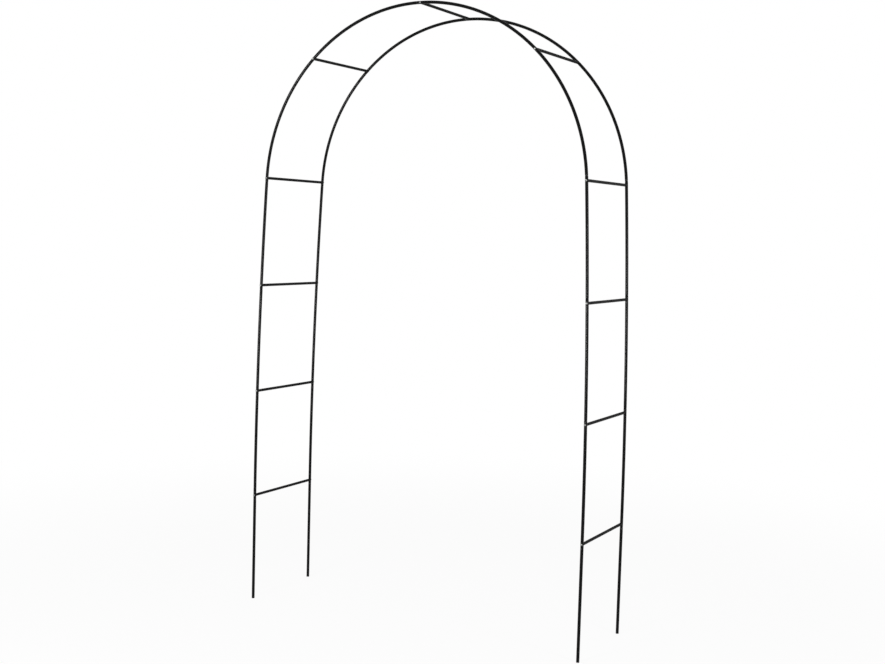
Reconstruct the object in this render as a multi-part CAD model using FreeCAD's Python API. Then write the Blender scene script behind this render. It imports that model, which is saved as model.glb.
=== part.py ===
# A garden arch of thin black steel tube: a front and a rear hoop joined by rungs, push-fitted and screwed
import FreeCAD, Part
import math
import os

os.makedirs("parts", exist_ok=True)
Vector = FreeCAD.Vector

# Driving dimensions in millimetres
ARCH_WIDTH = 1400.0      # over the outside of the arch's circle
HEIGHT = 2400.0          # from the feet to the top of the crown
LEAN = math.radians(3)   # the legs leave the arch with this lean, and bow until their feet stand upright
HOOP_SPACING = 400.0     # between the centre lines of the front and the rear hoop
TUBE_OD = 12.0
TUBE_WALL = 0.6
RUNG_OD = 11.0
RUNG_WALL = 0.6
LEG_SPANS = 4            # tubes in one leg, counting its straight foot
ARCH_SPANS = 4           # tubes in one arch

# The push-fit joint: a necked-down end stands in the plain end of the next tube, and a screw crosses the lap
SOCKET_LAP = 15.0        # from the screw to the rim of the plain end
SPIGOT_PAST = 15.0       # from the screw to the tip of the necked end
SPIGOT_OD = 10.3
NECK_TAPER = 6.0         # length of the cone that joins the tube to its neck
HOLE_R = 2.2
EASE_MARGIN = 1.2        # spare room for the one neck that meets its socket on a bend

# Pan-head machine screw and the threaded insert that it pulls on
SCREW_R = 2.0
SCREW_LENGTH = 25.0
SCREW_TIP = 0.6
HEAD_R = 4.0
HEAD_EDGE = 1.4          # height of the head's upright edge
HEAD_RISE = 3.1
INSERT_LENGTH = 16.0
INSERT_SETBACK = 0.5     # the insert stands back from the leg, so the saddle takes the load

# Sizes that follow from these
TUBE_R = TUBE_OD / 2
BORE_R = TUBE_R - TUBE_WALL
SPIGOT_R = SPIGOT_OD / 2
SPIGOT_BORE_R = SPIGOT_R - TUBE_WALL
RUNG_R = RUNG_OD / 2
RUNG_BORE_R = RUNG_R - RUNG_WALL
HOOP_Y = HOOP_SPACING / 2
ARCH_R = ARCH_WIDTH / 2 - TUBE_R
ARCH_Z = HEIGHT - TUBE_R - ARCH_R
ARCH_STEP = (math.pi - 2 * LEAN) / ARCH_SPANS
# The joints of a leg lie on one long bow, from the spring line, where it meets the arch, down to its foot
SPRING_Z = ARCH_Z + ARCH_R * math.sin(LEAN)
BOW_STEP = LEAN / (LEG_SPANS - 1)
BOW_R = SPRING_Z / (BOW_STEP + math.sin(LEAN))
SPAN = BOW_R * BOW_STEP
FOOT_X = ARCH_R * math.cos(LEAN) + BOW_R * (1 - math.cos(LEAN))
# The rim of a plain end stops on the cone where the cone is as wide as the bore
SEAT = NECK_TAPER * (TUBE_R - BORE_R) / (TUBE_R - SPIGOT_R)
TAPER_FROM = SOCKET_LAP + SEAT
TAPER_TO = TAPER_FROM - NECK_TAPER
# A leg's tubes are straight from each joint to where a cone starts, and bend between these straight ends
LEG_BEND_R = BOW_R - TAPER_FROM / math.tan(BOW_STEP / 2)
# At the right spring line the arch curves away from the leg's socket, so its cone stops short
BEND_OFFSET = SOCKET_LAP ** 2 / (2 * ARCH_R)
LAST_NECK_EASE = EASE_MARGIN * BEND_OFFSET * NECK_TAPER / (TUBE_R - SPIGOT_R)
SADDLE_REACH = 2 * TUBE_OD

ORIGIN = Vector(0, 0, 0)
SIDEWAYS = Vector(1, 0, 0)
ACROSS = Vector(0, 1, 0)
UP = Vector(0, 0, 1)


class Bend:
    """An arc of a hoop's centre line. Angle 0 is to the left of its centre, and angles grow going over."""

    def __init__(self, centre, radius):
        self.centre = centre
        self.radius = radius

    def point(self, angle):
        return self.centre - self.inward(angle) * self.radius

    def along(self, angle):
        return Vector(math.sin(angle), 0, math.cos(angle))

    def inward(self, angle):
        return Vector(math.cos(angle), 0, -math.sin(angle))

    def circle(self, radius, angle):
        return Part.Wire(Part.makeCircle(radius, self.point(angle), self.along(angle)))

    def ring(self, outer, inner, angle):
        edges = [self.circle(outer, angle), self.circle(inner, angle)]
        return Part.makeFace(edges, "Part::FaceMakerBullseye")

    def sweep(self, section, turn):
        """A stretch of bent tube or bar, made by turning its section about the centre."""
        return section.revolve(self.centre, ACROSS, math.degrees(turn))

    def tube(self, outer, inner, start, end):
        return self.sweep(self.ring(outer, inner, start), end - start)

    def cone(self, wide, narrow, start, end):
        return Part.makeLoft([self.circle(wide, start), self.circle(narrow, end)], True, True)


ARCH = Bend(Vector(0, 0, ARCH_Z), ARCH_R)
BOW = Bend(Vector(BOW_R - FOOT_X, 0, SPAN), BOW_R)     # of the left leg, the right one is its mirror image


def cross_hole(spot):
    """The drill that clears both walls of a tube for the screw at one joint."""
    length = 3 * TUBE_OD
    return Part.makeCylinder(HOLE_R, length, spot - ACROSS * (length / 2), ACROSS)


# The two kinds of straight end as rings of (height, radius), with the joint at 0 and the tube below it
NECKED_END = [(-TAPER_FROM, TUBE_R), (-TAPER_TO, SPIGOT_R), (SPIGOT_PAST, SPIGOT_R)]
PLAIN_END = [(-TAPER_FROM, TUBE_R), (SOCKET_LAP, TUBE_R)]


def straight_tube(rings):
    """An upright tube through these rings, drilled for the screw of the joint at its origin."""
    outside = [Vector(radius, 0, height) for height, radius in rings]
    inside = [Vector(radius - TUBE_WALL, 0, height) for height, radius in rings]
    corners = outside + inside[::-1]
    section = Part.Face(Part.makePolygon(corners + corners[:1]))
    return section.revolve(ORIGIN, UP, 360).cut(cross_hole(ORIGIN))


def leg_end(rings, angle, turn):
    """A straight end at one joint of the left leg, turned to lie along the bow."""
    return straight_tube(rings).rotated(ORIGIN, ACROSS, math.degrees(turn)).translated(BOW.point(angle))


def leg_tube(number, lower_rings, upper_rings):
    """A bowed tube of the left leg, counted from the bottom joint, with these ends."""
    first = number * BOW_STEP
    last = first + BOW_STEP
    bend_from = BOW.point(first) + BOW.along(first) * TAPER_FROM
    bend = Bend(bend_from + BOW.inward(first) * LEG_BEND_R, LEG_BEND_R)
    lower = leg_end(lower_rings, first, first + math.pi)
    upper = leg_end(upper_rings, last, last)
    return bend.tube(TUBE_R, BORE_R, first, last).fuse([lower, upper])


def arch_tube(first, straight_start, straight_neck):
    """A bent tube of the arch, from the joint at its plain end to the joint at its necked end.

    Where the arch meets a leg, the end beyond that joint runs straight.
    """
    last = first + ARCH_STEP
    ease = LAST_NECK_EASE if straight_neck else 0
    rim = first - SOCKET_LAP / ARCH_R
    tip = last + SPIGOT_PAST / ARCH_R
    taper_from = last - (TAPER_FROM + ease) / ARCH_R
    taper_to = last - (TAPER_TO + ease) / ARCH_R
    cone = ARCH.cone(TUBE_R, SPIGOT_R, taper_from, taper_to)
    pieces = [cone.cut(ARCH.cone(BORE_R, SPIGOT_BORE_R, taper_from, taper_to))]
    if straight_start:
        rim = first
        pieces.append(ARCH.ring(TUBE_R, BORE_R, first).extrude(ARCH.along(first) * -SOCKET_LAP))
    if straight_neck:
        tip = last
        pieces.append(ARCH.ring(SPIGOT_R, SPIGOT_BORE_R, last).extrude(ARCH.along(last) * SPIGOT_PAST))
    pieces.append(ARCH.tube(TUBE_R, BORE_R, rim, taper_from))
    pieces.append(ARCH.tube(SPIGOT_R, SPIGOT_BORE_R, taper_to, tip))
    tube = pieces[0].fuse(pieces[1:]).removeSplitter()
    for angle in (first, last):
        tube = tube.cut(cross_hole(ARCH.point(angle)))
    return tube


def leg_bar(angle):
    """The outside of a leg near a joint, as a solid bar, to cope the end of a rung."""
    start = BOW.point(angle) - BOW.along(angle) * SADDLE_REACH
    return Part.makeCylinder(TUBE_R, 2 * SADDLE_REACH, start, BOW.along(angle))


def arch_bar(angle):
    """The same for a joint of the arch."""
    turn = SADDLE_REACH / ARCH_R
    return ARCH.sweep(Part.Face(ARCH.circle(TUBE_R, angle - turn)), 2 * turn)


def left_spring_bar():
    """The same at the left spring line, where the arch bends away from a straight end."""
    section = Part.Face(ARCH.circle(TUBE_R, LEAN))
    bend = ARCH.sweep(section, SADDLE_REACH / ARCH_R)
    return bend.fuse(section.extrude(ARCH.along(LEAN) * -SADDLE_REACH)).removeSplitter()


def rung(spot, bar):
    """One rung from hoop to hoop, with both ends notched to a saddle that fits round the hoop."""
    start = spot - ACROSS * HOOP_Y
    tube = Part.makeCylinder(RUNG_R, HOOP_SPACING, start, ACROSS)
    tube = tube.cut(Part.makeCylinder(RUNG_BORE_R, HOOP_SPACING, start, ACROSS))
    for y in (-HOOP_Y, HOOP_Y):
        tube = tube.cut(bar.translated(ACROSS * y))
    return tube


def screw():
    """A pan-head screw with the underside of its head at y = 0 and its shank along +Y."""
    top = Vector(0, -HEAD_RISE, 0)
    edge = Vector(HEAD_R, -HEAD_EDGE, 0)
    dome = HEAD_RISE - HEAD_EDGE
    dome_r = (HEAD_R ** 2 + dome ** 2) / (2 * dome)
    half = math.asin(HEAD_R / dome_r) / 2
    between = Vector(dome_r * math.sin(half), dome_r * (1 - math.cos(half)) - HEAD_RISE, 0)
    corners = [
        edge,
        Vector(HEAD_R, 0, 0),
        Vector(SCREW_R, 0, 0),
        Vector(SCREW_R, SCREW_LENGTH - SCREW_TIP, 0),
        Vector(SCREW_R - SCREW_TIP, SCREW_LENGTH, 0),
        Vector(0, SCREW_LENGTH, 0),
        top,
    ]
    outline = Part.makePolygon(corners).Edges + [Part.Arc(top, between, edge).toShape()]
    return Part.Face(Part.Wire(outline)).revolve(ORIGIN, ACROSS, 360)


def insert():
    """A threaded insert with its outer face at y = 0, lying along +Y."""
    body = Part.makeCylinder(RUNG_BORE_R, INSERT_LENGTH, ORIGIN, ACROSS)
    return body.cut(Part.makeCylinder(SCREW_R, INSERT_LENGTH, ORIGIN, ACROSS))


def to_right(shape):
    return shape.mirror(ORIGIN, SIDEWAYS)


def to_rear(shape):
    return shape.mirror(ORIGIN, ACROSS)


# The joints: four up each leg, the last of them at the spring line, and three round the arch.
# Each has its point between the hoops and the bar that copes its rung
LEG_LEVELS = ["bottom", "lower", "upper", "spring"]
ARCH_PLACES = ["left", "crown", "right"]
joints = {}
for number, level in enumerate(LEG_LEVELS):
    angle = number * BOW_STEP
    spot = BOW.point(angle)
    bar = leg_bar(angle)
    joints[f"left_rung_{level}"] = (spot, left_spring_bar() if level == "spring" else bar)
    joints[f"right_rung_{level}"] = (Vector(-spot.x, 0, spot.z), to_right(bar))
for number, place in enumerate(ARCH_PLACES, start=1):
    angle = LEAN + number * ARCH_STEP
    joints[f"arch_rung_{place}"] = (ARCH.point(angle), arch_bar(angle))

# On the left every leg tube is necked at its upper end. On the right the necks point down from the arch,
# and the foot's own neck points up, so the lower tube there has two plain ends
foot = straight_tube([(-SPAN, TUBE_R)] + NECKED_END).translated(BOW.point(0))
hoop = {
    "left_foot": foot,
    "left_lower": leg_tube(0, PLAIN_END, NECKED_END),
    "left_middle": leg_tube(1, PLAIN_END, NECKED_END),
    "left_upper": leg_tube(2, PLAIN_END, NECKED_END),
    "right_foot": to_right(foot),
    "right_lower": to_right(leg_tube(0, PLAIN_END, PLAIN_END)),
    "right_middle": to_right(leg_tube(1, NECKED_END, PLAIN_END)),
    "right_upper": to_right(leg_tube(2, NECKED_END, PLAIN_END)),
}
ARCH_NAMES = ["arch_left_lower", "arch_left_upper", "arch_right_upper", "arch_right_lower"]
for index, name in enumerate(ARCH_NAMES):
    start = LEAN + index * ARCH_STEP
    hoop[name] = arch_tube(start, straight_start=(index == 0), straight_neck=(index == ARCH_SPANS - 1))

nodes = {}
for name, tube in hoop.items():
    nodes[f"front_{name}_tube"] = tube.translated(ACROSS * -HOOP_Y)
    nodes[f"rear_{name}_tube"] = tube.translated(ACROSS * HOOP_Y)
for name, (spot, bar) in joints.items():
    nodes[name] = rung(spot, bar)

# The screw heads bear on the outer side of each hoop, and the inserts sit inside the ends of the rungs
HEAD_SEAT = ACROSS * (-HOOP_Y - TUBE_R)
INSERT_SEAT = ACROSS * (-HOOP_Y + TUBE_R + INSERT_SETBACK)
spots = [spot for spot, bar in joints.values()]
front_screws = Part.makeCompound([screw().translated(spot + HEAD_SEAT) for spot in spots])
front_inserts = Part.makeCompound([insert().translated(spot + INSERT_SEAT) for spot in spots])
nodes["front_screws"] = front_screws
nodes["rear_screws"] = to_rear(front_screws)
nodes["front_rung_inserts"] = front_inserts
nodes["rear_rung_inserts"] = to_rear(front_inserts)

for name, shape in nodes.items():
    shape.exportStep(f"parts/{name}.step")
    solids = len(shape.Solids)
    print(f"{name}: {solids} solid, {shape.Volume:.0f} mm3, valid {shape.isValid()}")
print(f"joints {SPAN:.2f} mm apart on a bow of {BOW_R:.0f}, spring at {SPRING_Z:.2f}, feet at {FOOT_X:.2f}")
whole = Part.makeCompound(list(nodes.values())).optimalBoundingBox()
size = f"{whole.XLength:.1f} x {whole.YLength:.1f} x {whole.ZLength:.1f} mm"
print(f"{len(nodes)} nodes, within {size}, standing on z = {whole.ZMin:.2f}")
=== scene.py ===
# %% [markdown]
# # A garden arch of powder-coated steel tube
# The arch is sold flat in a box: straight and bent lengths of thin steel tube that push into each other,
# rungs that hold a front and a rear hoop apart, and one small screw at every joint. This lesson models
# each length as the maker does, from a ring that is drawn out along a line, and then gives it its finish.
# The solids of the construction come first. They fix where every joint is, so nothing is fitted by eye
# later.

# %% Load the construction
import math
import bpy
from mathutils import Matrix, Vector


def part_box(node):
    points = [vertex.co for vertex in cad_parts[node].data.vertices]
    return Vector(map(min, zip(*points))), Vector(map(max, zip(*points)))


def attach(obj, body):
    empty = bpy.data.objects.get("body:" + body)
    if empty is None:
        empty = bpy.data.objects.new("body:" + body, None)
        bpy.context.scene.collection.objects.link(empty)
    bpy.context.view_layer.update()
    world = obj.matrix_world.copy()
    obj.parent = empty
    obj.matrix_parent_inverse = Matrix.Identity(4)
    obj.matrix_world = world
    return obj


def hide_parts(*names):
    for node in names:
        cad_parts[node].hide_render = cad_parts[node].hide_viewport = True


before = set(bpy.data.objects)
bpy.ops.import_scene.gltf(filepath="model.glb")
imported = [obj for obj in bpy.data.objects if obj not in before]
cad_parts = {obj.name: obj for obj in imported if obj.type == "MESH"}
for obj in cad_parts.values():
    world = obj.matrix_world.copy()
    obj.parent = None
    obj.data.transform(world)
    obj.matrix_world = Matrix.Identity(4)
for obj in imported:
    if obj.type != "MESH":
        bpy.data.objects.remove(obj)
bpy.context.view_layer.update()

# %% [markdown]
# ## Where the joints are
# A rung crosses from hoop to hoop at every joint, so the middle of each rung's box is the middle of a
# joint pair. The rest follows from those points. The feet stand upright up to the bottom rung. From there
# each leg bows in one long arc to where it meets the circle of the arch, which builders call the spring
# line. The straight line between the two ends of an arc leans half as much as the arc turns, which gives
# the lean.

# %% Measure the joints
MM = 0.001
LEG_LEVELS = ["bottom", "lower", "upper", "spring"]
ARCH_PLACES = ["left", "crown", "right"]


def middle(node):
    """The middle of one solid's box."""
    low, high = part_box(node)
    return (low + high) / 2


bottom = middle("left_rung_bottom")
spring = middle("left_rung_spring")
bow_chord = spring - bottom
LEAN = 2 * math.atan2(bow_chord.x, bow_chord.z)
BOW_R = bow_chord.length / (2 * math.sin(LEAN / 2))
BOW_STEP = LEAN / (len(LEG_LEVELS) - 1)
SPAN = BOW_STEP * BOW_R
FOOT_X = -bottom.x
HOOP_Y = -middle("front_left_lower_tube").y
ARCH_R = -spring.x / math.cos(LEAN)
ARCH_STEP = (math.pi - 2 * LEAN) / (len(ARCH_PLACES) + 1)
ARCH_SPAN = ARCH_STEP * ARCH_R
print(f"legs lean {math.degrees(LEAN):.2f} degrees at the spring line and bow at a {BOW_R:.1f} m radius")
print(f"joints {SPAN / MM:.1f} mm apart on the legs and {ARCH_SPAN / MM:.1f} mm on the arch")

# %% [markdown]
# Walking over the hoop from the left foot to the right one, the tube turns from straight up to straight
# down. The turn at each joint is all that is needed later to set a tube, a rung or a screw the right way
# round.

# %% Turn at each joint
joints = {}
for number, level in enumerate(LEG_LEVELS):
    joints[f"left_rung_{level}"] = number * BOW_STEP
    joints[f"right_rung_{level}"] = math.pi - number * BOW_STEP
for number, place in enumerate(ARCH_PLACES, start=1):
    joints[f"arch_rung_{place}"] = LEAN + number * ARCH_STEP
for name, turn in joints.items():
    print(f"{name}: {math.degrees(turn):.1f} degrees")

# %% [markdown]
# ## The push-fit tube
# One end of each tube is squeezed narrower, so that it slides into the plain end of its neighbour. The
# makers call the squeezed end swaged. The rim of the plain end stops on the cone of the swage, and that
# step is the fine line beside each joint. A tube could be a curve with a bevel, but its width has to
# change along the way. So a ring of points is extruded from station to station, and shrunk where the tube
# is squeezed.

# %% Stations along a tube
TUBE_R = 6.0 * MM
WALL = 0.6 * MM
SPIGOT_R = 5.15 * MM
NECK_LENGTH = 6.0 * MM
SOCKET_LAP = 15.0 * MM      # from a joint to the rim of the plain end
SPIGOT_PAST = 15.0 * MM     # from a joint to the tip of the squeezed end
HOLE_ZONE = 4.0 * MM        # rings this far either side of a joint keep the drilled hole's edges short
NECK_RINGS = 6
RIM_SEAT = NECK_LENGTH * WALL / (TUBE_R - SPIGOT_R)
NECK_START = SOCKET_LAP + RIM_SEAT


def joint_zone(at, radius):
    """Rings round one joint, where the screw hole is drilled."""
    return [(at - HOLE_ZONE, radius), (at, radius), (at + HOLE_ZONE, radius)]


def squeezed_end(at, ease=0.0):
    """Rings from the full tube down to its neck and on to the tip, for the joint at this distance."""
    rings = []
    for ring in range(NECK_RINGS + 1):
        share = ring / NECK_RINGS
        squeeze = share * share * (3 - 2 * share)       # starts and ends gently, as the swaging die does
        distance = at - NECK_START - ease + share * NECK_LENGTH
        rings.append((distance, TUBE_R + squeeze * (SPIGOT_R - TUBE_R)))
    return rings + joint_zone(at, SPIGOT_R) + [(at + SPIGOT_PAST, SPIGOT_R)]


def plain_end(at):
    return [(at - NECK_START, TUBE_R)] + joint_zone(at, TUBE_R) + [(at + SOCKET_LAP, TUBE_R)]


plain_start = [(-SOCKET_LAP, TUBE_R)] + joint_zone(0.0, TUBE_R) + [(NECK_START, TUBE_R)]
foot_start = [(0.0, TUBE_R)]
print(f"a rim seats {RIM_SEAT / MM:.2f} mm down the cone")
print(f"a leg tube is {(SOCKET_LAP + SPAN + SPIGOT_PAST) / MM:.0f} mm long from rim to tip")

# %% [markdown]
# ## Drawing out a ring
# A tube starts as one ring of points that faces along it. In edit mode the ring is extruded, and resized
# where the tube narrows. Extruding leaves the new ring selected, so the next step acts on that ring
# alone.

# %% Ring tools
ROUND = 40


def start_ring(name, radius, centre, turn):
    """Opens a new piece on one ring of points that faces along the tube."""
    bpy.ops.object.select_all(action="DESELECT")
    bpy.ops.mesh.primitive_circle_add(vertices=ROUND, radius=radius, location=centre, rotation=turn)
    piece = bpy.context.object
    piece.name = name
    bpy.ops.object.transform_apply()
    bpy.ops.object.mode_set(mode="EDIT")
    return piece


def extrude(move):
    bpy.ops.mesh.extrude_region_move(TRANSFORM_OT_translate={"value": move})


def resize(factor, centre):
    bpy.ops.transform.resize(value=(factor, factor, factor), center_override=centre)


flatness = TUBE_R * (1 - math.cos(math.pi / ROUND))
print(f"{ROUND} points to a ring, whose flats lie {flatness / MM:.3f} mm inside the true circle")

# %% [markdown]
# ## Walling and easing
# The ring makes an open skin. Solidify then grows the wall inwards, as thick as the real sheet, and a
# small bevel takes the sharpness off the two rims, where powder coat always flows round. The wall has to
# come after the normals are set outwards, because Solidify grows it to one side of them.

# %% Wall tools
RIM_EASE = 0.12 * MM
RIM_SEGMENTS = 2
RIM_ANGLE = math.radians(60)


def leave_facing_outwards():
    """Turns every face of the piece in edit mode outwards, and leaves edit mode."""
    bpy.ops.mesh.select_all(action="SELECT")
    bpy.ops.mesh.normals_make_consistent(inside=False)
    bpy.ops.object.mode_set(mode="OBJECT")


def apply_modifier(piece, name):
    bpy.context.view_layer.objects.active = piece
    bpy.ops.object.modifier_apply(modifier=name)


def grow_wall(piece, thickness):
    """Turns an open skin's normals outwards and gives it its wall."""
    leave_facing_outwards()
    wall = piece.modifiers.new("wall", "SOLIDIFY")
    wall.thickness = thickness
    wall.offset = -1
    wall.use_even_offset = True
    apply_modifier(piece, "wall")


def ease_edges(piece, width, segments, angle):
    """Rounds every edge that turns by more than an angle."""
    ease = piece.modifiers.new("ease", "BEVEL")
    ease.width = width
    ease.segments = segments
    ease.limit_method = "ANGLE"
    ease.angle_limit = angle
    apply_modifier(piece, "ease")


print(f"walls {WALL / MM:.1f} mm thick, rims eased by {RIM_EASE / MM:.2f} mm")

# %% [markdown]
# ## Drilling and smoothing
# A Boolean drills the screw hole through both walls at once, as the maker's drill does. Shading smooth by
# angle then hides the flats of the ring, and leaves the edges of the holes crisp.

# %% Cutting and smoothing tools
HOLE_R = 2.2 * MM
CUT_THROUGH = 4 * TUBE_R        # long enough to pass right through a tube
SMOOTH_ANGLE = math.radians(35)


def cut_with(piece, cutter, operation="DIFFERENCE"):
    """Cuts one mesh with another, or joins them, and throws the cutter away."""
    cut = piece.modifiers.new("cut", "BOOLEAN")
    cut.operation = operation
    cut.solver = "EXACT"
    cut.object = cutter
    apply_modifier(piece, "cut")
    bpy.data.objects.remove(cutter)


def drill(piece, spot):
    """Drills both walls of a tube, front to rear."""
    bpy.ops.object.select_all(action="DESELECT")
    bpy.ops.mesh.primitive_cylinder_add(
        radius=HOLE_R, depth=CUT_THROUGH, location=spot, rotation=(math.pi / 2, 0, 0))
    cut_with(piece, bpy.context.object)


def select_only(*pieces):
    bpy.ops.object.select_all(action="DESELECT")
    for piece in pieces:
        piece.select_set(True)
    bpy.context.view_layer.objects.active = pieces[0]


def smooth(piece):
    select_only(piece)
    bpy.ops.object.shade_smooth_by_angle(angle=SMOOTH_ANGLE)
    return piece


print(f"holes {2 * HOLE_R / MM:.1f} mm across")

# %% [markdown]
# ## The straight foot
# The lowest length is the only straight one. It stands on its square-cut lower end and goes into the
# ground or a sleeve, and its squeezed end takes the next length.

# %% Draw the foot


def finish_tube(tube, holes):
    """Gives a drawn skin its wall, eased rims and screw holes."""
    grow_wall(tube, WALL)
    ease_edges(tube, RIM_EASE, RIM_SEGMENTS, RIM_ANGLE)
    for hole in holes:
        drill(tube, hole)
    return smooth(tube)


def draw_foot():
    """Draws the foot up the Z axis through its stations."""
    (here, radius), *others = foot_start + squeezed_end(SPAN)
    foot = start_ring("foot length", radius, (0, 0, here), (0, 0, 0))
    for distance, next_radius in others:
        extrude((0, 0, distance - here))
        resize(next_radius / radius, (0, 0, distance))
        here, radius = distance, next_radius
    return finish_tube(foot, [(0, 0, SPAN)])


foot_length = draw_foot()
print(f"{foot_length.name}: {len(foot_length.data.polygons)} faces")

# %% [markdown]
# ## Rolled lengths for the bow and the arch
# The other lengths are rolled, the legs' ones only just. Spin carries a ring round the middle of the
# bend, the way a roll bender feeds a tube. Each length starts upright at the origin, where its first
# joint is, and bends to the right. A leg's lengths keep straight ends, as far as the joint reaches, and
# bend in between. A length of the arch bends from rim to tip, but where the arch meets a leg, the end
# beyond that joint is left straight. The last neck of the arch lies on the bend, so it starts a little
# early to stay clear of its straight socket.

# %% Roll a length through its stations
ROLL = (0, -1, 0)               # with no window, spin about this axis goes up on the left
ROLL_ERROR = 0.03 * MM          # how far a straight step may stray from the true bend


def rolled_length(name, bend_r, span, stations, roll_from, roll_to):
    """Draws one tube with joints at 0 and at its span, and rolls it between two distances along it."""
    (here, radius), *others = stations
    upright_to = max(roll_from, 0.0)
    centre = Vector((bend_r, 0, upright_to))
    largest_step = math.sqrt(8 * ROLL_ERROR / bend_r)       # a chord's rise is its square over eight radii

    def spot(distance):
        rolled = min(max(distance, roll_from), roll_to)
        turn = (rolled - upright_to) / bend_r
        outward = Vector((-math.cos(turn), 0, math.sin(turn)))
        along = Vector((math.sin(turn), 0, math.cos(turn)))
        return centre + outward * bend_r + along * (distance - rolled)

    tube = start_ring(name, radius, spot(here), (0, min(roll_from, 0.0) / bend_r, 0))
    for distance, next_radius in others:
        if here < roll_from or here >= roll_to:
            extrude(spot(distance) - spot(here))
        else:
            turn = (distance - here) / bend_r
            steps = math.ceil(turn / largest_step)
            bpy.ops.mesh.spin(steps=steps, angle=turn, center=centre, axis=ROLL)
        resize(next_radius / radius, spot(distance))
        here, radius = distance, next_radius
    return finish_tube(tube, [spot(0.0), spot(span)])


# %% Draw the rolled lengths
LEG_BEND_R = BOW_R - NECK_START / math.tan(BOW_STEP / 2)    # straight ends leave less length to turn in
EASE_MARGIN = 1.2
BEND_OFFSET = SOCKET_LAP ** 2 / (2 * ARCH_R)                # from the socket's axis to the bend, at its rim
LAST_EASE = EASE_MARGIN * BEND_OFFSET * NECK_LENGTH / (TUBE_R - SPIGOT_R)


def leg_length(name, stations):
    return rolled_length(name, LEG_BEND_R, SPAN, stations, NECK_START, SPAN - NECK_START)


def arch_length(name, stations, roll_from=-SOCKET_LAP, roll_to=ARCH_SPAN + SPIGOT_PAST):
    return rolled_length(name, ARCH_R, ARCH_SPAN, stations, roll_from, roll_to)


squeezed_length = leg_length("squeezed length", plain_start + squeezed_end(SPAN))
plain_length = leg_length("plain length", plain_start + plain_end(SPAN))
first_bend = arch_length("first bend", plain_start + squeezed_end(ARCH_SPAN), roll_from=0.0)
middle_bend = arch_length("middle bend", plain_start + squeezed_end(ARCH_SPAN))
last_bend = arch_length("last bend", plain_start + squeezed_end(ARCH_SPAN, LAST_EASE), roll_to=ARCH_SPAN)
lengths = [foot_length, squeezed_length, plain_length, first_bend, middle_bend, last_bend]
for length in lengths:
    print(f"{length.name}: {len(length.data.polygons)} faces")

# %% [markdown]
# ## Setting up the two hoops
# Each tube is a copy of one of those lengths, turned as the hoop is at its first joint and moved there.
# On the left every neck points up. Past the crown the same order carries on, so on the right the necks
# point down, as in the photograph, until the lower length, which takes a neck at both ends. The rear hoop
# repeats the front.

# %% Place the tubes
TUBES = {
    # name: (length, the joint where it starts)
    "left_lower": (squeezed_length, "left_rung_bottom"),
    "left_middle": (squeezed_length, "left_rung_lower"),
    "left_upper": (squeezed_length, "left_rung_upper"),
    "arch_left_lower": (first_bend, "left_rung_spring"),
    "arch_left_upper": (middle_bend, "arch_rung_left"),
    "arch_right_upper": (middle_bend, "arch_rung_crown"),
    "arch_right_lower": (last_bend, "arch_rung_right"),
    "right_upper": (squeezed_length, "right_rung_spring"),
    "right_middle": (squeezed_length, "right_rung_upper"),
    "right_lower": (plain_length, "right_rung_lower"),
}
HOOPS = {"front": Vector((0, -HOOP_Y, 0)), "rear": Vector((0, HOOP_Y, 0))}
SIDES = {"left": -1, "right": 1}
pieces = {}


def copy_to(model, name, spot, turn):
    """Copies a modelled piece with its own mesh, turns and moves it, and puts its place into the mesh."""
    select_only(model)
    bpy.ops.object.duplicate()
    copy = bpy.context.object
    copy.name = name
    copy.rotation_euler = turn
    copy.location = spot
    bpy.ops.object.transform_apply()
    return copy


for hoop, depth in HOOPS.items():
    for side, way in SIDES.items():
        node = f"{hoop}_{side}_foot_tube"
        foot = Vector((way * FOOT_X, 0, 0)) + depth
        pieces[node] = copy_to(foot_length, f"coated_{node}", foot, (0, 0, 0))
    for name, (length, joint) in TUBES.items():
        node = f"{hoop}_{name}_tube"
        pieces[node] = copy_to(length, f"coated_{node}", middle(joint) + depth, (0, joints[joint], 0))
print(len(pieces), "tubes placed")

# %% [markdown]
# ## Rungs with saddle ends
# A rung's ends are notched to a saddle that hugs the round of the hoop, so the screw can pull the two
# tight. The rung is the same thin tube, a touch slimmer. Square ends would be simpler, but they would
# gape beside the hoop. So two cylinders as wide as the hoop cut the saddles.

# %% Model one rung and copy it
RUNG_R = 5.5 * MM
SADDLE_ZONE = 12.0 * MM         # rings this far from the ends keep the saddle's edges short


def model_rung():
    """One rung along Y, for a hoop that runs straight up past its ends."""
    rung = start_ring("rung", RUNG_R, (0, -HOOP_Y, 0), (math.pi / 2, 0, 0))
    for step in (SADDLE_ZONE, 2 * (HOOP_Y - SADDLE_ZONE), SADDLE_ZONE):
        extrude((0, step, 0))
    grow_wall(rung, WALL)
    for end in (-HOOP_Y, HOOP_Y):
        bpy.ops.object.select_all(action="DESELECT")
        bpy.ops.mesh.primitive_cylinder_add(
            vertices=2 * ROUND, radius=TUBE_R, depth=CUT_THROUGH, location=(0, end, 0))
        cut_with(rung, bpy.context.object)
    return smooth(rung)


rung = model_rung()
for name, turn in joints.items():
    pieces[name] = copy_to(rung, f"coated_{name}", middle(name), (0, turn, 0))
print(f"{len(joints)} rungs, {len(rung.data.polygons)} faces each")

# %% [markdown]
# ## Pan-head screws
# One screw goes through each hoop into each end of a rung. Its head shows as a small pale dot on the
# black tube. A flattened ball would be quicker, but it has no upright edge. So the head is a ring with a
# face in it, drawn up along that edge and then along a dome.

# %% Draw the head
HEAD_R = 4.0 * MM
HEAD_EDGE = 1.4 * MM            # height of the head's upright edge
HEAD_RISE = 3.1 * MM
HEAD_EASE = 0.3 * MM
HEAD_SEGMENTS = 3
DOME = HEAD_RISE - HEAD_EDGE
DOME_R = (HEAD_R ** 2 + DOME ** 2) / (2 * DOME)
DOME_ANGLE = math.asin(HEAD_R / DOME_R)
DOME_RINGS = 8


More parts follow.
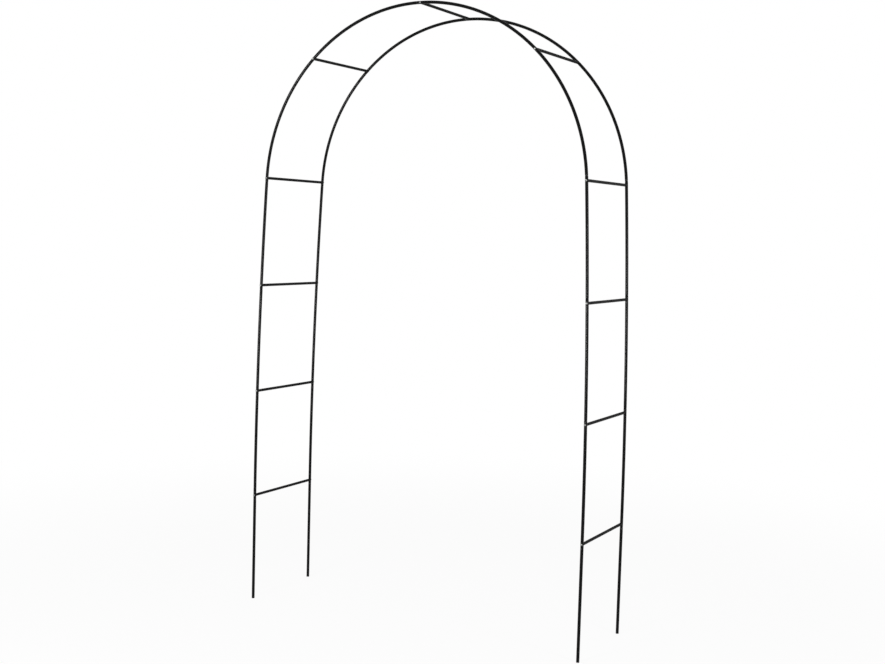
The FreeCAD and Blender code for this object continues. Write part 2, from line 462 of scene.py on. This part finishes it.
def model_head():
    """A pan head with its underside at y = 0 and its dome towards -Y."""
    head = start_ring("screw head", HEAD_R, (0, 0, 0), (math.pi / 2, 0, 0))
    bpy.ops.mesh.edge_face_add()
    extrude((0, -HEAD_EDGE, 0))
    height, radius = HEAD_EDGE, HEAD_R
    for ring in range(1, DOME_RINGS):
        angle = DOME_ANGLE * (1 - ring / DOME_RINGS)
        next_height = HEAD_RISE - DOME_R * (1 - math.cos(angle))
        next_radius = DOME_R * math.sin(angle)
        extrude((0, height - next_height, 0))
        resize(next_radius / radius, (0, -next_height, 0))
        height, radius = next_height, next_radius
    leave_facing_outwards()
    ease_edges(head, HEAD_EASE, HEAD_SEGMENTS, SMOOTH_ANGLE)
    return head


head = model_head()
print(f"plain head: {len(head.data.polygons)} faces")

# %% [markdown]
# ## The cross recess
# A driver needs a recess that narrows inwards. Two tapered bars, a quarter turn apart, cut the cross.
# Each is a cube whose deepest face is shrunk. That face is picked once Blender is back in object mode,
# because a change of mode rebuilds the mesh, and a face that was picked before it is no longer there.

# %% Cut the recess
RECESS_LENGTH = 4.6 * MM            # across the mouth
RECESS_WIDTH = 1.1 * MM
RECESS_DEPTH = 2.0 * MM
RECESS_TAPER = 0.5                  # the deep end against the outer end of a bar
OUTER_END = 2 / (1 + RECESS_TAPER)  # the outer end against the mouth, half way along a bar


def deselect_mesh():
    """Leaves no point, edge or face of the active piece selected."""
    bpy.ops.object.mode_set(mode="EDIT")
    bpy.ops.mesh.select_all(action="DESELECT")
    bpy.ops.object.mode_set(mode="OBJECT")


def recess_bar(turn):
    """One tapered bar of the cross recess, narrowing into the head."""
    bpy.ops.object.select_all(action="DESELECT")
    bpy.ops.mesh.primitive_cube_add(size=1, location=(0, -HEAD_RISE, 0), rotation=(0, turn, 0))
    bar = bpy.context.object
    bar.scale = (OUTER_END * RECESS_LENGTH, 2 * RECESS_DEPTH, OUTER_END * RECESS_WIDTH)
    bpy.ops.object.transform_apply()
    deselect_mesh()
    deepest = max(bar.data.polygons, key=lambda face: face.center.y)
    deepest.select = True
    bpy.ops.object.mode_set(mode="EDIT")
    resize(RECESS_TAPER, (0, RECESS_DEPTH - HEAD_RISE, 0))
    bpy.ops.object.mode_set(mode="OBJECT")
    return bar


for turn in (0, math.pi / 2):
    cut_with(head, recess_bar(turn))
print(f"head with its recess: {len(head.data.polygons)} faces")

# %% [markdown]
# ## The thread
# A thread is a small zigzag, one pitch long, that climbs by a pitch at every turn. A ring of four points
# without its inmost one is that zigzag, and the Screw modifier winds it up at the pitch of an M4 thread.
# The ends are cut off square, and a union joins the shank to the head.

# %% Wind the thread
SCREW_R = 2.0 * MM
SCREW_LENGTH = 25.0 * MM
PITCH = 0.7 * MM
THREAD_STEPS = 16
SPARE_TURNS = 4             # wound on, then cut off again, two at each end
SHANK_IN_HEAD = 0.5 * MM
SEAM = 0.01 * MM            # points nearer than this are one point of neighbouring turns


def model_shank():
    """The threaded shank along Y: a zigzag of one pitch, wound up and cut off square at both ends."""
    bpy.ops.object.select_all(action="DESELECT")
    start = (SCREW_R - PITCH / 2, -SPARE_TURNS / 2 * PITCH, 0)
    bpy.ops.mesh.primitive_circle_add(vertices=4, radius=PITCH / 2, location=start)
    shank = bpy.context.object
    shank.name = "screw shank"
    bpy.ops.object.transform_apply()
    deselect_mesh()
    inmost = min(shank.data.vertices, key=lambda point: point.co.x)
    inmost.select = True
    bpy.ops.object.mode_set(mode="EDIT")
    bpy.ops.mesh.delete(type="VERT")
    bpy.ops.object.mode_set(mode="OBJECT")
    wind = shank.modifiers.new("thread", "SCREW")
    wind.axis = "Y"
    wind.screw_offset = PITCH
    wind.iterations = math.ceil(SCREW_LENGTH / PITCH) + SPARE_TURNS
    wind.steps = THREAD_STEPS
    wind.render_steps = THREAD_STEPS
    apply_modifier(shank, "thread")
    bpy.ops.object.mode_set(mode="EDIT")
    bpy.ops.mesh.select_all(action="SELECT")
    bpy.ops.mesh.remove_doubles(threshold=SEAM)
    for end, away in ((-SHANK_IN_HEAD, -1), (SCREW_LENGTH, 1)):
        bpy.ops.mesh.select_all(action="SELECT")
        bpy.ops.mesh.bisect(plane_co=(0, end, 0), plane_no=(0, away, 0), use_fill=True, clear_outer=True)
    leave_facing_outwards()
    return shank


shank = model_shank()
print(f"shank: {len(shank.data.polygons)} faces")
cut_with(head, shank, "UNION")
screw = smooth(head)
print(f"screw: {len(screw.data.polygons)} faces, {screw.dimensions.y / MM:.1f} mm long")

# %% [markdown]
# ## Driving the screws
# No two screws stop at the same angle, so each is turned on by the same odd step from the last. The rear
# ones are turned round rather than mirrored, because a mirrored screw would have a left-hand thread. The
# eleven screws of one hoop are joined to one piece, as they are one set in the box.

# %% Copy the screws to the joints
SCREW_TURN = math.radians(137.5)
HEAD_SEAT = HOOP_Y + TUBE_R


def drive_screws(name, y, facing):
    """Copies of the screw at every joint of one hoop, as one piece."""
    copies = []
    for number, rung_name in enumerate(joints):
        spot = middle(rung_name)
        spot.y = y
        copies.append(copy_to(screw, name, spot, (0, number * SCREW_TURN, facing)))
    select_only(*copies)
    bpy.ops.object.join()
    return bpy.context.object


pieces["front_screws"] = drive_screws("plated_front_screws", -HEAD_SEAT, 0)
pieces["rear_screws"] = drive_screws("plated_rear_screws", HEAD_SEAT, math.pi)
for model in lengths + [rung, screw]:
    bpy.data.objects.remove(model)
print(f"{len(joints)} screws on each hoop, {len(pieces['front_screws'].data.polygons)} faces a set")

# %% [markdown]
# ## Node tools
# Colours are written as the hex values that a colour chart gives, and turned to the linear values that a
# shader works in. Every pattern reads Object coordinates, which are metres here, so a pattern's scale is
# one over its size in metres. A Mix node gives several sockets the same name, so its sockets go by
# number.

# %% Colour and node helpers
MIX_SHARE = 0
NUMBER_A, NUMBER_B, NUMBER_OUT = 2, 3, 0
COLOUR_A, COLOUR_B, COLOUR_OUT = 6, 7, 2


def linear(hex_colour):
    """A hex sRGB colour as linear red, green, blue and alpha."""
    values = [int(hex_colour[i:i + 2], 16) / 255 for i in (1, 3, 5)]
    return [v / 12.92 if v <= 0.04045 else ((v + 0.055) / 1.055) ** 2.4 for v in values] + [1.0]


def add_node(tree, kind, inputs=None, **settings):
    """Adds one node, sets its properties, and fills its inputs with values or with links."""
    node = tree.nodes.new(kind)
    for name, value in settings.items():
        setattr(node, name, value)
    for socket, value in (inputs or {}).items():
        if isinstance(value, bpy.types.NodeSocket):
            tree.links.new(value, node.inputs[socket])
        else:
            node.inputs[socket].default_value = value
    return node


def new_material(name):
    """An empty node material, its tree, and the coordinates of the piece."""
    material = bpy.data.materials.new(name)
    material.use_nodes = True
    tree = material.node_tree
    tree.nodes.clear()
    place = add_node(tree, "ShaderNodeTexCoord").outputs["Object"]
    return material, tree, place


def per_metre(size_mm):
    return 1 / (size_mm * MM)


print(f"a middle grey, #808080, is {linear('#808080')[0]:.3f} in linear light")

# %% [markdown]
# ## Black powder coat
# The steel is dusted with polyester powder and baked. The coat flows into a skin with a faint orange
# peel, a few millimetres across and about a hundredth of a millimetre deep, which breaks up the edge of
# every highlight. Handling and uneven film thickness make the sheen drift along a tube. A resin usually
# gets half as its specular level. Here the whole room is white, and at half every tube would turn grey.
# The fine wax and carbon black that rise to the skin of such a coat take most of that mirror away, so the
# level is far lower. The tubes carry narrow streaks in the photograph, as a satin coat does. The rungs
# carry none, and stay dark though the eye runs along them, where a smooth skin mirrors most. So they get
# a duller batch of the same coat, whose rough skin scatters that glancing light.

# %% Make the powder coat
COAT_DARK = "#050505"
COAT_PALE = "#0b0c0c"
COAT_CLOUD_MM = 70
CLOUD_LOW, CLOUD_HIGH = 0.3, 0.7    # a noise seldom leaves this range
TUBE_SHEEN = (0.16, 0.23)           # roughness where the film is thick and where it is thin
RUNG_SHEEN = (0.55, 0.65)
RESIN_IOR = 1.5
COAT_MIRROR = 0.07
PEEL_MM = 3.0
GRAIN_MM = 0.8
GRAIN_SHARE = 0.3
PEEL_DEPTH = 0.06 * MM              # really about 0.01 mm, drawn deeper so that it shows


def black_powder_coat(name, sheen):
    material, tree, place = new_material(name)
    smoothest, roughest = sheen
    cloud = add_node(
        tree, "ShaderNodeTexNoise", {"Vector": place, "Scale": per_metre(COAT_CLOUD_MM), "Detail": 3.0})
    peel = add_node(
        tree, "ShaderNodeTexNoise", {"Vector": place, "Scale": per_metre(PEEL_MM), "Detail": 2.0})
    grain = add_node(
        tree, "ShaderNodeTexNoise", {"Vector": place, "Scale": per_metre(GRAIN_MM), "Detail": 1.0})
    colour = add_node(tree, "ShaderNodeMix", {
        MIX_SHARE: cloud.outputs["Fac"],
        COLOUR_A: linear(COAT_DARK),
        COLOUR_B: linear(COAT_PALE),
    }, data_type="RGBA")
    roughness = add_node(tree, "ShaderNodeMapRange", {
        "Value": cloud.outputs["Fac"],
        "From Min": CLOUD_LOW,
        "From Max": CLOUD_HIGH,
        "To Min": smoothest,
        "To Max": roughest,
    })
    height = add_node(tree, "ShaderNodeMix", {
        MIX_SHARE: GRAIN_SHARE,
        NUMBER_A: peel.outputs["Fac"],
        NUMBER_B: grain.outputs["Fac"],
    }, data_type="FLOAT")
    bump = add_node(
        tree, "ShaderNodeBump", {"Height": height.outputs[NUMBER_OUT], "Distance": PEEL_DEPTH})
    skin = add_node(tree, "ShaderNodeBsdfPrincipled", {
        "Base Color": colour.outputs[COLOUR_OUT],
        "Roughness": roughness.outputs[0],
        "Normal": bump.outputs[0],
        "IOR": RESIN_IOR,
        "Specular IOR Level": COAT_MIRROR,
    })
    add_node(tree, "ShaderNodeOutputMaterial", {"Surface": skin.outputs[0]})
    return material


tube_coat = black_powder_coat("satin black polyester powder coat, baked", TUBE_SHEEN)
rung_coat = black_powder_coat("matt black polyester powder coat, baked", RUNG_SHEEN)
for coat in (tube_coat, rung_coat):
    print(f"{coat.name}: {len(coat.node_tree.nodes)} nodes")

# %% [markdown]
# ## Zinc plate
# The screws are barrel-plated with zinc. Tumbling in the barrel leaves a fine scuffed grain, and the
# passivation bath adds a faint cool tint that changes from patch to patch.

# %% Make the screws' finish
ZINC_COOL = "#7d8286"
ZINC_WARM = "#8f8d86"
PLATE_PATCH_MM = 2.5
SCUFF_MM = 0.35
PLATE_SHEEN = (0.3, 0.5)        # roughness where the scuffing is light and where it is heavy
MARK_DEPTH = 0.01 * MM


def zinc_plate():
    material, tree, place = new_material("zinc plated steel, barrel tumbled")
    smoothest, roughest = PLATE_SHEEN
    patch = add_node(
        tree, "ShaderNodeTexNoise", {"Vector": place, "Scale": per_metre(PLATE_PATCH_MM), "Detail": 2.0})
    scuff = add_node(
        tree, "ShaderNodeTexNoise", {"Vector": place, "Scale": per_metre(SCUFF_MM), "Detail": 3.0})
    colour = add_node(tree, "ShaderNodeMix", {
        MIX_SHARE: patch.outputs["Fac"],
        COLOUR_A: linear(ZINC_COOL),
        COLOUR_B: linear(ZINC_WARM),
    }, data_type="RGBA")
    polish = add_node(
        tree, "ShaderNodeMapRange",
        {"Value": scuff.outputs["Fac"], "To Min": smoothest, "To Max": roughest})
    bump = add_node(tree, "ShaderNodeBump", {"Height": scuff.outputs["Fac"], "Distance": MARK_DEPTH})
    metal = add_node(tree, "ShaderNodeBsdfPrincipled", {
        "Base Color": colour.outputs[COLOUR_OUT],
        "Metallic": 1.0,
        "Roughness": polish.outputs[0],
        "Normal": bump.outputs[0],
    })
    add_node(tree, "ShaderNodeOutputMaterial", {"Surface": metal.outputs[0]})
    return material


plate = zinc_plate()
print(f"{plate.name}: {len(plate.node_tree.nodes)} nodes")

# %% [markdown]
# ## Turned steel
# The inserts inside the rungs are bare turned steel, with the fine rings that a lathe tool leaves along
# the bar.

# %% Make the inserts' finish
STEEL_DARK = "#8a8884"
STEEL_PALE = "#b2b0ab"
LATHE_MM = 0.5                          # real feed marks are about 0.1 mm, drawn coarser so that they show
WAVES_PER_UNIT = 20 / (2 * math.pi)     # bands that a wave texture draws in one unit at a scale of 1
TURNED_SHEEN = (0.28, 0.4)              # roughness in a mark and beside it


def turned_steel():
    material, tree, place = new_material("free-cutting steel, turned and left bare")
    smoothest, roughest = TURNED_SHEEN
    marks = add_node(
        tree, "ShaderNodeTexWave",
        {"Vector": place, "Scale": per_metre(LATHE_MM) / WAVES_PER_UNIT, "Distortion": 0.4},
        wave_type="BANDS", bands_direction="Y")
    colour = add_node(tree, "ShaderNodeMix", {
        MIX_SHARE: marks.outputs["Fac"],
        COLOUR_A: linear(STEEL_DARK),
        COLOUR_B: linear(STEEL_PALE),
    }, data_type="RGBA")
    polish = add_node(
        tree, "ShaderNodeMapRange",
        {"Value": marks.outputs["Fac"], "To Min": smoothest, "To Max": roughest})
    bump = add_node(tree, "ShaderNodeBump", {"Height": marks.outputs["Fac"], "Distance": MARK_DEPTH})
    metal = add_node(tree, "ShaderNodeBsdfPrincipled", {
        "Base Color": colour.outputs[COLOUR_OUT],
        "Metallic": 1.0,
        "Roughness": polish.outputs[0],
        "Normal": bump.outputs[0],
    })
    add_node(tree, "ShaderNodeOutputMaterial", {"Surface": metal.outputs[0]})
    return material


steel = turned_steel()
print(f"{steel.name}: {len(steel.node_tree.nodes)} nodes")

# %% [markdown]
# ## Dressing the pieces
# Each modelled piece hides the plain solid that it stands for and rides on the one rigid body. The
# inserts have no modelled copy: they are plain sleeves inside the rungs, so their solids stay and only
# get the steel.

# %% Give every piece its finish
BODY = "root"


def finish_of(node):
    """The material of a piece, and the slot of the solid that it stands for."""
    if node.endswith("screws"):
        return plate, "zinc_plated_steel"
    if "rung" in node:
        return rung_coat, "powder_coated_steel"
    return tube_coat, "powder_coated_steel"


for node, piece in pieces.items():
    material, slot = finish_of(node)
    piece.data.materials.clear()
    piece.data.materials.append(material)
    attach(piece, BODY)
    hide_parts(node)
for node in ("front_rung_inserts", "rear_rung_inserts"):
    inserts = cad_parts[node]
    inserts.data.materials.clear()
    inserts.data.materials.append(steel)
print(f"{len(pieces)} pieces dressed")

# %% [markdown]
# ## A white studio
# The photograph stands the arch on seamless white. The floor is white paper that takes the arch's soft
# shadow. To the eye, and in reflections, part of it is plain white, and with distance all of it, so that
# it runs into the backdrop with no horizon. As a light the paper only gives back what falls on it.

# %% Lay the floor
FLOOR_SIZE = 80.0
WHITE = "#ffffff"
PAPER_DARK = "#f4f4f4"
PAPER_PALE = "#fafafa"
PAPER_MM = 400
NEAR_WHITE = 0.94           # share of plain white close to the arch
SHADOW_REACH = 1.2
WHITE_REACH = 4.0


def ray_is_seen(tree):
    """One for what the eye meets directly, in a reflection or through glass, and none for light."""
    ray = add_node(tree, "ShaderNodeLightPath").outputs
    seen = add_node(
        tree, "ShaderNodeMath", {0: ray["Is Camera Ray"], 1: ray["Is Glossy Ray"]}, operation="MAXIMUM")
    through = add_node(
        tree, "ShaderNodeMath", {0: seen.outputs[0], 1: ray["Is Transmission Ray"]}, operation="MAXIMUM")
    return through.outputs[0]


def studio_floor():
    material, tree, place = new_material("matt white studio paper, rolled out")
    fibre = add_node(
        tree, "ShaderNodeTexNoise", {"Vector": place, "Scale": per_metre(PAPER_MM), "Detail": 2.0})
    tint = add_node(tree, "ShaderNodeMix", {
        MIX_SHARE: fibre.outputs["Fac"],
        COLOUR_A: linear(PAPER_DARK),
        COLOUR_B: linear(PAPER_PALE),
    }, data_type="RGBA")
    paper = add_node(tree, "ShaderNodeBsdfDiffuse", {"Color": tint.outputs[COLOUR_OUT]})
    white = add_node(tree, "ShaderNodeEmission", {"Color": linear(WHITE), "Strength": 1.0})
    away = add_node(tree, "ShaderNodeVectorMath", {0: place}, operation="LENGTH")
    far = add_node(tree, "ShaderNodeMapRange", {
        "Value": away.outputs["Value"],
        "From Min": SHADOW_REACH,
        "From Max": WHITE_REACH,
        "To Min": NEAR_WHITE,
    }, interpolation_type="SMOOTHSTEP")
    share = add_node(
        tree, "ShaderNodeMath", {0: far.outputs[0], 1: ray_is_seen(tree)}, operation="MULTIPLY")
    surface = add_node(
        tree, "ShaderNodeMixShader", {0: share.outputs[0], 1: paper.outputs[0], 2: white.outputs[0]})
    add_node(tree, "ShaderNodeOutputMaterial", {"Surface": surface.outputs[0]})
    return material


bpy.ops.object.select_all(action="DESELECT")
bpy.ops.mesh.primitive_plane_add(size=FLOOR_SIZE, location=(0, 0, 0))
floor = bpy.context.object
floor.name = "studio_floor"
floor.data.materials.append(studio_floor())
print(f"floor {FLOOR_SIZE:.0f} m square")

# %% [markdown]
# ## The backdrop
# The world is the backdrop. Seen directly, in a reflection or through glass it is plain white. As a light
# it is weaker, so that the lamps still model the round of the tubes.

# %% Set the backdrop
AMBIENT = 0.3


def white_backdrop():
    world = bpy.data.worlds.new("white backdrop")
    world.use_nodes = True
    tree = world.node_tree
    tree.nodes.clear()
    strength = add_node(
        tree, "ShaderNodeMapRange", {"Value": ray_is_seen(tree), "To Min": AMBIENT, "To Max": 1.0})
    sky = add_node(
        tree, "ShaderNodeBackground", {"Color": linear(WHITE), "Strength": strength.outputs[0]})
    add_node(tree, "ShaderNodeOutputWorld", {"Surface": sky.outputs[0]})
    return world


bpy.context.scene.world = white_backdrop()
bpy.context.scene.view_settings.view_transform = "Standard"
print(f"backdrop 1.0 to the eye, {AMBIENT} as light")

# %% [markdown]
# ## Camera
# The photograph looks at the arch from its right front, from about the height of a person's eyes. The
# place and the lens were worked out from the joints' positions in the picture, so the rungs fall where
# they do there.

# %% Place the camera
CAMERA_PLACE = (2.428, -4.452, 1.551)
CAMERA_TURN = (85.42, -1.613, 28.495)     # degrees
CAMERA_LENS = 52.29                       # mm
SENSOR_WIDTH = 36.0                       # mm


def place_camera():
    lens = bpy.data.cameras.new("camera")
    lens.lens = CAMERA_LENS
    lens.sensor_width = SENSOR_WIDTH
    camera = bpy.data.objects.new("camera", lens)
    camera.location = CAMERA_PLACE
    camera.rotation_euler = [math.radians(turn) for turn in CAMERA_TURN]
    bpy.context.collection.objects.link(camera)
    bpy.context.scene.camera = camera
    return camera


camera = place_camera()
print(f"camera {camera.location.length:.2f} m from the origin")

# %% [markdown]
# ## Softboxes
# A thin tube shows a lamp as a pale streak, and only where its surface leans half way between the lamp
# and the eye. In the photograph the streaks lie at chest height on the legs and a third of the way up the
# arch's left side. That puts the main softbox to the left of the camera and low, and a weaker, higher one
# to its right. Both are small, so the streaks end within a rung or two.

# %% Set the softboxes
SOFTBOXES = {
    # name: (degrees to the left of the camera, distance, middle height, width, height, watts)
    "left_softbox": (37, 4.2, 0.85, 0.7, 0.7, 150),
    "right_softbox": (-42, 4.0, 1.55, 0.6, 0.6, 60),
}


def hang_softbox(name, left, distance, height, width, tall, watts):
    """An area lamp on a circle round the arch, facing its middle."""
    to_camera = math.atan2(CAMERA_PLACE[1], CAMERA_PLACE[0])
    angle = to_camera - math.radians(left)
    lamp = bpy.data.lights.new(name, "AREA")
    lamp.shape = "RECTANGLE"
    lamp.size = width
    lamp.size_y = tall
    lamp.energy = watts
    box = bpy.data.objects.new(name, lamp)
    box.location = (distance * math.cos(angle), distance * math.sin(angle), height)
    aim = Vector((0, 0, height)) - box.location
    box.rotation_euler = aim.to_track_quat("-Z", "Y").to_euler()
    box.visible_camera = False
    bpy.context.collection.objects.link(box)


for name, settings in SOFTBOXES.items():
    hang_softbox(name, *settings)
print(f"{len(SOFTBOXES)} softboxes hung")
